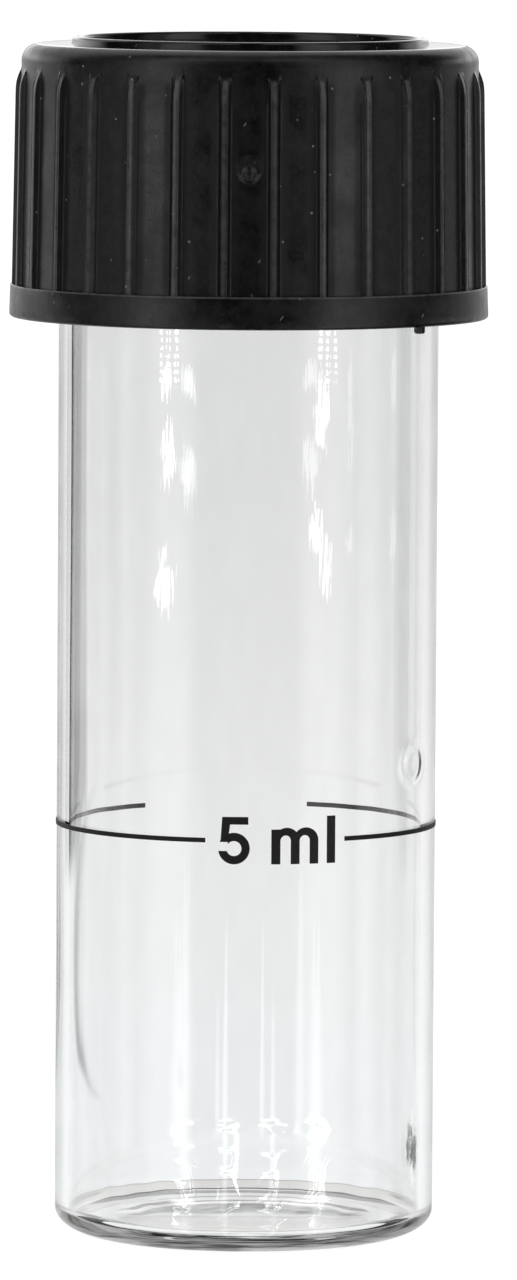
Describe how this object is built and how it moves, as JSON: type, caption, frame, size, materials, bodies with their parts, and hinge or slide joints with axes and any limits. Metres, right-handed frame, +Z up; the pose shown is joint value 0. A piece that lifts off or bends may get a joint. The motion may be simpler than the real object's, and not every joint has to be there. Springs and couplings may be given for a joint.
{
  "type": "glass sample vial",
  "caption": "Straight clear glass sample vial with a rounded heel, a printed fill line and a ribbed black screw cap that unscrews and lifts clear.",
  "frame": {"origin": "centre of the base, on the surface that the vial stands on", "axes": "+Z up the tube to the cap, -Y towards the side with the numeral, +X to the right of that side"},
  "size_m": [0.0244, 0.0244, 0.0613],
  "materials": {
    "clear_glass": "clear, polished",
    "black_print": "fired black screen print",
    "black_plastic": "satin moulded plastic with light scratches and dust",
    "liner_plastic": "matt closed-cell foam"
  },
  "bodies": {
    "vial": {"glass_vial": "clear_glass", "volume_mark": "black_print"},
    "liner": {"cap_liner": "liner_plastic"},
    "cap": {"screw_cap": "black_plastic"}
  },
  "joints": [
    {"name": "cap_lift", "type": "slide", "parent": "vial", "child": "liner", "axis": [0, 0, 1], "range_m": [0, 0.0318]},
    {"name": "cap_turn", "type": "hinge", "parent": "liner", "child": "cap", "pos_m": [0, 0, 0.053], "axis": [0, 0, 1], "range_deg": [0, 3600]}
  ],
  "couplings": [
    {"joint": "cap_lift", "follows": "cap_turn", "m_per_rad": 0.00050532}
  ]
}
